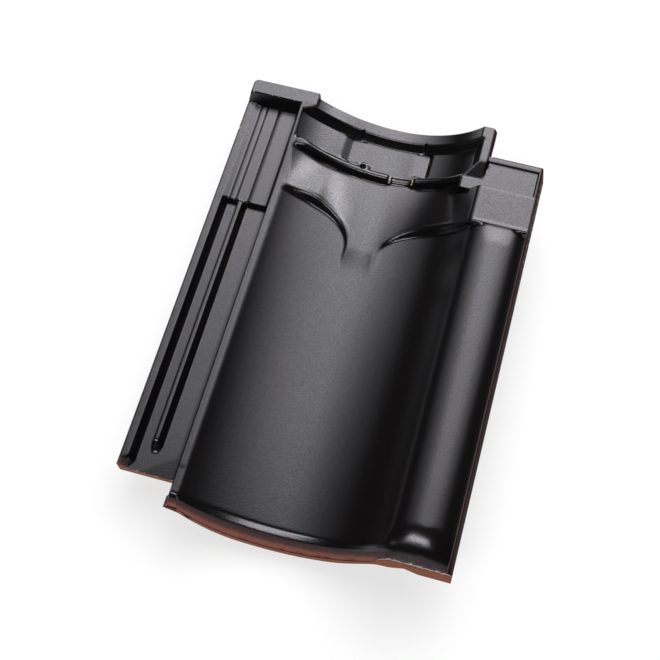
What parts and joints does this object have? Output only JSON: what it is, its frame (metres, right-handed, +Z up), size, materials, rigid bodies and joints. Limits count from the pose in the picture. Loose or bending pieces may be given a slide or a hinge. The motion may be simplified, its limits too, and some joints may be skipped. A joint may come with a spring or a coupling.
{
  "type": "clay roof tile",
  "caption": "Black glazed interlocking clay roof tile with a hollow pan, a round roll, a ribbed side lock, a head bar, a nail hole and a hanging nib.",
  "frame": {"origin": "middle of the tile's bounding box, on the floor that the nib and the tail lip touch", "axes": "+X from the side lock to the roll, +Y from the tail to the head, +Z up out of the weather face"},
  "size_m": [0.264, 0.38, 0.074],
  "materials": {
    "glazed_clay": "black satin glaze over red fired clay"
  },
  "bodies": {
    "root": {"roof_tile": "glazed_clay"}
  },
  "joints": []
}
